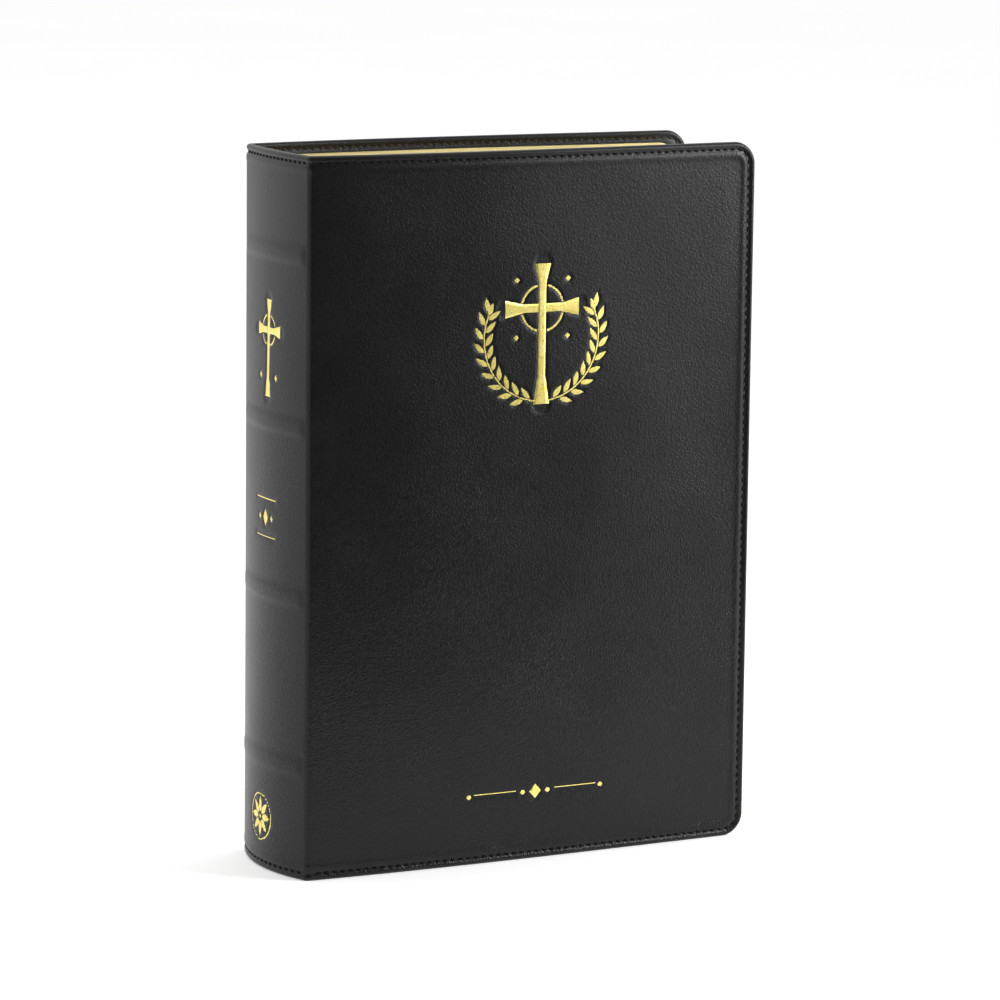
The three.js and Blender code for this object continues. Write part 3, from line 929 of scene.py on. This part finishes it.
def printed_material(name, dark, light):
    """Thin paper with two columns of grey bars that stand for print and say nothing."""
    material = paper_material(name, dark, light)
    s = Shader.again(material)
    plain = s.shader.inputs["Base Color"].links[0].from_socket
    flat = s.coordinates((1 / MM, 1 / MM, 1))
    split = s.node("SeparateXYZ", {"Vector": flat})
    u, z = split.outputs["X"], split.outputs["Y"]
    line = s.maths("FRACT", s.maths("DIVIDE", z, LINE_PITCH))
    band = s.times(s.maths("GREATER_THAN", line, 0.3), s.maths("LESS_THAN", line, 0.72))
    row = s.maths("FLOOR", s.maths("DIVIDE", z, LINE_PITCH))
    spot = s.node("CombineXYZ", {"X": s.times(u, 0.55), "Y": s.times(row, 7.3)})
    words = s.range(s.noise(spot.outputs["Vector"], 1.0, 1.0), 0.36, 0.42, 0.0, 1.0)
    ragged = s.noise(s.node("CombineXYZ", {"Y": s.times(row, 3.7)}).outputs["Vector"], 1.0, 0.0)
    columns = []
    for low, high in PRINT_COLUMNS:
        end = s.maths("SUBTRACT", high, s.range(ragged, 0.55, 0.8, 0.0, 30.0))
        columns.append(s.times(s.maths("GREATER_THAN", u, low), s.maths("LESS_THAN", u, end)))
    height = s.times(s.maths("GREATER_THAN", z, PRINT_LOW), s.maths("LESS_THAN", z, PRINT_HIGH))
    ink = s.times(s.times(band, words), s.times(s.plus(*columns), height))
    s.set(Base_Color=s.mix(s.times(ink, INK), plain, (0.10, 0.095, 0.09, 1)))
    return material


def card_material(name, dark, light, scale=420.0):
    """Board, kraft paper and the like, on pieces that ride on the spine."""
    s = Shader(name)
    space = s.coordinates(surface=False)
    flecks = s.noise(space, scale, 5.0, 0.7)
    s.set(Base_Color=s.ramp(flecks, (0.3, dark), (0.7, light)))
    s.set(Roughness=s.range(flecks, 0.3, 0.7, 0.75, 0.92), Normal=s.bump(flecks, 0.0001, 0.6))
    return s.material


def woven_material(name, dark, light, pitch=0.0007):
    s = Shader(name)
    space = s.coordinates(surface=False)
    inputs = {"Vector": space, "Scale": 0.31 / pitch}
    waves = [s.node("TexWave", inputs, bands_direction=axis).outputs["Fac"] for axis in "YZ"]
    weave = s.maths("MAXIMUM", *waves)
    s.set(Base_Color=s.ramp(weave, (0.2, dark), (0.8, light)), Roughness=s.range(weave, 0.0, 1.0, 0.9, 0.78))
    s.set(Normal=s.bump(weave, 0.0001, 0.8))
    return s.material


def headband_material():
    s = Shader("headband_thread")
    wave = s.node("TexWave", {"Vector": s.coordinates(), "Scale": 170.0}, bands_direction="Y").outputs["Fac"]
    fibres = s.noise(s.coordinates((3000, 400, 1)), 1.0, 2.0)
    s.set(Base_Color=s.ramp(wave, (0.42, (0.012, 0.010, 0.009)), (0.58, (0.16, 0.095, 0.04))))
    s.set(Roughness=s.range(fibres, 0.3, 0.7, 0.5, 0.7), Normal=s.bump(fibres, 0.0001, 0.6))
    return s.material


LEATHER = leather_material()
# The stitches' black thread is partly its own colour and partly painted shade. Its darkest tone is pushed
# down to 0.002 so that the thread stands in for the shadow of the stitch holes, which the mesh is too coarse
# to show.
BLACK_THREAD_WITH_PAINTED_SHADE = thread_material("black_thread_with_painted_shade", (0.002, 0.002, 0.002), (0.007, 0.007, 0.0075))
BOBBIN = thread_material("brown_thread", (0.02, 0.016, 0.013), (0.09, 0.073, 0.058))
FOIL = foil_material()
GILT = gilt_material()
PAGE = printed_material("bible_paper", (0.76, 0.73, 0.64), (0.82, 0.79, 0.71))
ENDPAPER = paper_material("endpaper", (0.72, 0.66, 0.52), (0.77, 0.71, 0.57), 600.0)
FOLDS = card_material("folded_paper", (0.60, 0.56, 0.47), (0.74, 0.70, 0.61), 700.0)
BOARD = card_material("grey_board", (0.20, 0.19, 0.17), (0.34, 0.32, 0.29))
KRAFT = card_material("kraft_paper", (0.30, 0.19, 0.10), (0.42, 0.29, 0.17))
CLOTH = woven_material("mull_cloth", (0.30, 0.28, 0.24), (0.72, 0.69, 0.62), 0.0011)
LINEN = woven_material("linen_tape", (0.42, 0.37, 0.28), (0.74, 0.68, 0.55), 0.0006)
HEADBAND = headband_material()


# ---- The book ----

HINGE_NEAR, HINGE_FAR = -4.5, 7.0  # the strip of leather inside the joint
HINGE_DEPTHS = (0.04, 0.55)  # its faces, out from the cover's inner one
HINGE_OVERLAP = 1.0  # it goes this far under the turned-in leather
SECTION_EDGES, CENTRE_EDGES, FLYLEAF_EDGES = 9, 14, 2


def bend_with_cover(obj):
    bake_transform(obj)


def hinge_strip(name, side):
    """The leather left showing inside each joint, between the block and the pastedown."""
    maker = Maker()
    columns = graded((HINGE_NEAR, 0.5), (HINGE_FAR, 1))
    low, high = TURN_IN - HINGE_OVERLAP, HEIGHT - TURN_IN + HINGE_OVERLAP
    rows = graded((low, 1.5), (low + 7, 6), (high - 7, 1.5), (high, 1))
    u, z = np.meshgrid(columns, rows)
    uv = np.stack([u, z], -1)
    inner = maker.sheet(place(side, u, z, cover_thickness(u) - HINGE_DEPTHS[0]), uv, flip=side < 0)
    outer = maker.sheet(place(side, u, z, cover_thickness(u) - HINGE_DEPTHS[1]), uv, flip=side > 0)
    rim_uv = np.stack([whole_edge(u), whole_edge(z)], -1)[None].repeat(2, 0)
    maker.grid(np.stack([whole_edge(inner), whole_edge(outer)]), rim_uv, flip=side > 0, closed=True)
    return maker.build(name, [LEATHER], sharp=60)


def make_covers():
    for name, side in SIDES:
        wrap = leather_half(f"{name}_leather_wrap", side)
        bend_with_cover(wrap)
        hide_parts(f"{name}_cover_leather", *(["spine_leather"] if side < 0 else []))

        strip = hinge_strip(f"{name}_hinge_leather", side)
        bend_with_cover(strip)

        board = cover_plate(f"{name}_board", side, BOARD_START, BOARD_INSET, BOARD_DEPTHS,
                            CORNER - BOARD_INSET, [BOARD])
        lining = cover_plate(f"{name}_lining", side, LINING_START, TURN_IN + LINING_GAP, LINING_DEPTHS,
                             LINING_CORNER, [ENDPAPER])
        seam = stitches(f"{name}_stitches", cover_stitches(side), [BLACK_THREAD_WITH_PAINTED_SHADE, BOBBIN])
        for obj, node, slot in ((board, "cover_board", "card"), (lining, "pastedown", "endpaper"),
                                (seam, "cover_stitching", "thread")):
            bend_with_cover(obj)
            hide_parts(f"{name}_{node}")


def make_pages():
    for name, side in SIDES:
        for index in range(1, SECTIONS + 1):
            node = f"{name}_section_{index:02d}"
            obj = leaf_block(f"{node}_leaves", node, 100 * (side + 2) + index, SECTION_EDGES, [PAGE, GILT])
            fold_leaves(obj, node)
        node = f"{name}_flyleaf"
        obj = leaf_block(f"{node}_leaf", node, 7 + side, FLYLEAF_EDGES, [ENDPAPER, GILT])
        fold_leaves(obj, node)
    centre = leaf_block("centre_section_leaves", "centre_section", 50, CENTRE_EDGES, [PAGE, GILT])
    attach(centre, "spine_and_block")
    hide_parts("centre_section")


def fold_leaves(obj, node):
    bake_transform(obj)
    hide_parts(node)


def make_spine():
    for z, end in ((HEIGHT - STITCH_INSET, "head"), (STITCH_INSET, "tail")):
        seam = stitches(f"spine_{end}_seam", spine_stitches(z), [BLACK_THREAD_WITH_PAINTED_SHADE])
        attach(seam, "spine_and_block")
        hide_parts(f"spine_{end}_stitching")
    plain = (("section_folds", FOLDS, "page"), ("spine_inlay", BOARD, "card"),
             ("hollow_tube", KRAFT, "kraft"), ("spine_lining", KRAFT, "kraft"), ("mull", CLOTH, "cloth"),
             ("kettle_stitch_head", LINEN, "linen"), ("kettle_stitch_tail", LINEN, "linen"))
    strips = [(f"raised_band_{i}", BOARD, "card") for i in BAND_NUMBERS]
    strips += [(f"sewing_tape_{i}", LINEN, "linen") for i in BAND_NUMBERS]
    for node, material, slot in [*plain, *strips]:
        obj = restyled(f"{node}_shape", node, "spine_and_block", material)
    for node in ("headband", "tailband"):
        low, high = box(node)
        headband(f"{node}_sewn", node, (low.z + high.z) / 2)


def make_foil():
    for name, group in FRONT_STAMPS.items():
        obj = foil(name, group, spine=False)
        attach(obj, "front_cover")
    for name, group in SPINE_STAMPS.items():
        obj = foil(name, group, spine=True)
        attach(obj, "spine_and_block")


# ---- Stage ----

FLOOR_REACH, FLOOR_MIDDLE = 14000.0, 600.0
FLOOR_GLOW = 0.34
CARD_NEAR, CARD_FAR = 230.0, 4000.0
CARD_ANGLES = (-22.0, 38.0)  # degrees from straight ahead, towards the fore-edge
CARD_LIFT = 3.0
DARK_SIDE = (0.1, -1.0, 0.1)  # the world is dark this way
DARK_FROM, DARK_TO = 0.05, 0.7  # cosines from it, where the dark begins and is full
WORLD_STRENGTH = 1.0
MIDDLE = (0.0, 0.0, 0.12)

# Name, place, what it faces, width and height, all in metres, and watts.
LIGHTS = (
    ("right_box", (0.62, -0.50, 0.42), (0.08, 0.0, 0.18), (0.3, 0.5), 7.0),
    ("left_box", (-1.5, 0.25, 0.8), MIDDLE, (0.8, 1.2), 0.5),
    ("top_box", (0.0, 0.3, 2.2), MIDDLE, (2.4, 2.4), 12.0),
)


def make_floor():
    maker = Maker()
    lines = [-FLOOR_REACH, -FLOOR_MIDDLE, 0, FLOOR_MIDDLE, FLOOR_REACH]
    x, y = np.meshgrid(lines, lines)
    maker.sheet(np.stack([x, y, np.zeros_like(x)], -1), np.stack([x, y], -1))
    s = Shader("pale_floor")
    cloud = s.noise(s.node("TexCoord").outputs["Object"], 3.0, 2.0)
    s.set(Base_Color=s.ramp(cloud, (0.3, (0.89, 0.89, 0.89)), (0.7, (0.91, 0.91, 0.91))))
    s.set(Emission_Color=(1, 1, 1, 1), Emission_Strength=FLOOR_GLOW)
    s.set(Roughness=0.85, Specular_IOR_Level=0.1)
    floor = maker.build("floor", [s.material], merge=False)


def make_card():
    """A dark card on the floor in front of the book. Only reflections see it."""
    maker = Maker()
    reach = np.linspace(CARD_NEAR, CARD_FAR, 8)
    angles = np.radians(np.linspace(*CARD_ANGLES, 12))
    r, a = np.meshgrid(reach, angles)
    points = np.stack([r * np.sin(a), -r * np.cos(a), np.full(r.shape, CARD_LIFT)], -1)
    maker.sheet(points, np.stack([r, a], -1))
    s = Shader("dark_card")
    cloud = s.noise(s.coordinates(), 5.0)
    s.set(Base_Color=s.ramp(cloud, (0.3, (0.02, 0.02, 0.02)), (0.7, (0.03, 0.03, 0.03))), Roughness=0.9)
    card = maker.build("card", [s.material], merge=False)
    for ray in ("camera", "diffuse", "shadow", "transmission", "volume_scatter"):
        setattr(card, f"visible_{ray}", False)


def soft_box(name, at, target, size, power):
    data = bpy.data.lights.new(name, "AREA")
    data.shape = "RECTANGLE"
    data.size, data.size_y = size
    data.energy = power
    obj = new_object(name, data)
    obj.location = at
    obj.rotation_mode = "QUATERNION"
    obj.rotation_quaternion = (Vector(target) - Vector(at)).to_track_quat("-Z", "Y")
    obj.visible_camera = False


def make_world():
    """White all round, and darker towards the camera's side, where a studio is."""
    world = bpy.data.worlds.new("studio")
    scene.world = world
    world.use_nodes = True
    tree = world.node_tree
    background = tree.nodes["Background"]
    direction = tree.nodes.new("ShaderNodeTexCoord").outputs["Generated"]
    facing = tree.nodes.new("ShaderNodeVectorMath")
    facing.operation = "DOT_PRODUCT"
    facing.inputs[1].default_value = Vector(DARK_SIDE).normalized()
    ramp = tree.nodes.new("ShaderNodeValToRGB")
    light, dark = ramp.color_ramp.elements
    light.position, light.color = DARK_FROM, (1, 1, 1, 1)
    dark.position, dark.color = DARK_TO, (0.015, 0.015, 0.016, 1)
    tree.links.new(direction, facing.inputs[0])
    tree.links.new(facing.outputs["Value"], ramp.inputs["Fac"])
    tree.links.new(ramp.outputs["Color"], background.inputs["Color"])
    background.inputs["Strength"].default_value = WORLD_STRENGTH


# The lens in millimetres, angles in degrees and the place in metres.
CAMERA = {
    "focal": 166.06,
    "sensor": 36.0,
    "azimuth": -26.627,
    "elevation": 9.449,
    "roll": 0.642,
    "place": (-0.67405, -1.3503, 0.36754),
}


def make_camera():
    data = bpy.data.cameras.new("camera")
    data.lens, data.sensor_width = CAMERA["focal"], CAMERA["sensor"]
    data.clip_start, data.clip_end = 0.05, 60
    camera = new_object("camera", data)
    azimuth, elevation = math.radians(CAMERA["azimuth"]), math.radians(CAMERA["elevation"])
    back = Vector((math.sin(azimuth) * math.cos(elevation), -math.cos(azimuth) * math.cos(elevation),
                   math.sin(elevation)))
    right = Vector((math.cos(azimuth), math.sin(azimuth), 0))
    turned = Matrix.Rotation(math.radians(CAMERA["roll"]), 3, back) @ right
    up = back.cross(turned)
    facing = Matrix((turned, up, back)).transposed().to_4x4()
    camera.matrix_world = Matrix.Translation(CAMERA["place"]) @ facing
    scene.camera = camera


make_camera()
make_world()
for light in LIGHTS:
    soft_box(*light)
make_floor()
make_card()
make_covers()
make_pages()
make_spine()
make_foil()

scene.view_settings.view_transform = "Standard"
